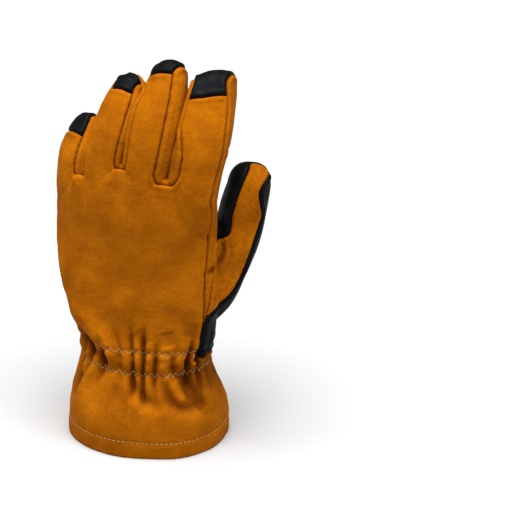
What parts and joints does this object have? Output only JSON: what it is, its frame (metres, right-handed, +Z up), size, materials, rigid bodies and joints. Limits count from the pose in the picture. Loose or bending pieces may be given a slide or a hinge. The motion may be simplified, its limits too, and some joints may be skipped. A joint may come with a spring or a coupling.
{
  "type": "firefighter glove",
  "caption": "Left-hand leather work glove: hollow shell of sewn gold suede and black palm panels, curled fingers, wrist gathers and a flared cuff that it stands on.",
  "frame": {"origin": "middle of the footprint, on the plane that the hem stands on", "axes": "+Z up along the hand from hem to fingertips, back of the hand towards -Y, palm towards +Y, thumb towards +X"},
  "size_m": [0.1468, 0.1048, 0.2712],
  "materials": {
    "gold_leather": "brushed gold cowhide",
    "gold_suede": "gold split suede",
    "black_leather": "smooth black leather"
  },
  "bodies": {
    "root": {"back_shell": "gold_leather", "cuff_front": "gold_suede", "side_little": "gold_suede", "side_index": "gold_suede", "fourchette_little_ring": "gold_suede", "fourchette_ring_middle": "gold_suede", "fourchette_middle_index": "gold_suede", "thumb_back": "gold_suede", "thumb_front": "black_leather", "palm_upper": "black_leather", "palm_insert": "black_leather", "palm_heel": "black_leather"}
  },
  "joints": []
}
